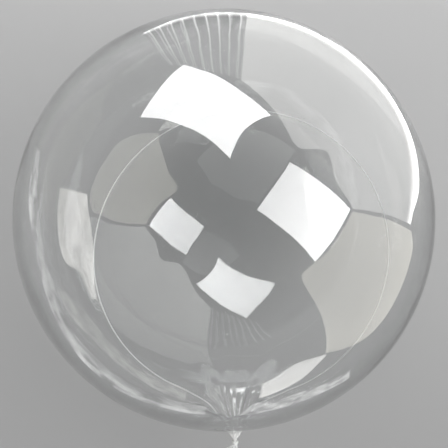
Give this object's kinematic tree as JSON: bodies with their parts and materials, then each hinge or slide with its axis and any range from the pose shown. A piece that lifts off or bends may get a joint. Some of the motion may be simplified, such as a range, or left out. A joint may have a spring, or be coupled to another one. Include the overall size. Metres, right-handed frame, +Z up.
{
  "type": "clear bubble balloon",
  "caption": "Clear, unprinted bubble balloon, blown up to a near-perfect ball, with a ring weld seam, a pleated neck tied with thread and a loose tail.",
  "frame": {"origin": "middle of the small flat spot under the ball, on which it rests", "axes": "+Z up, -Y along the neck's axis from the middle of the ball out to the neck, +X to the right as seen from the neck's end with +Z up"},
  "size_m": [0.4, 0.5063, 0.3984],
  "materials": {
    "clear_film": "thin, smooth, glossy, colourless stretch film that is seen through from front to back",
    "tie_thread": "fine, smooth, whitish clear thread with a soft shine"
  },
  "bodies": {
    "root": {"bubble": "clear_film", "neck_tie": "tie_thread"}
  },
  "joints": []
}
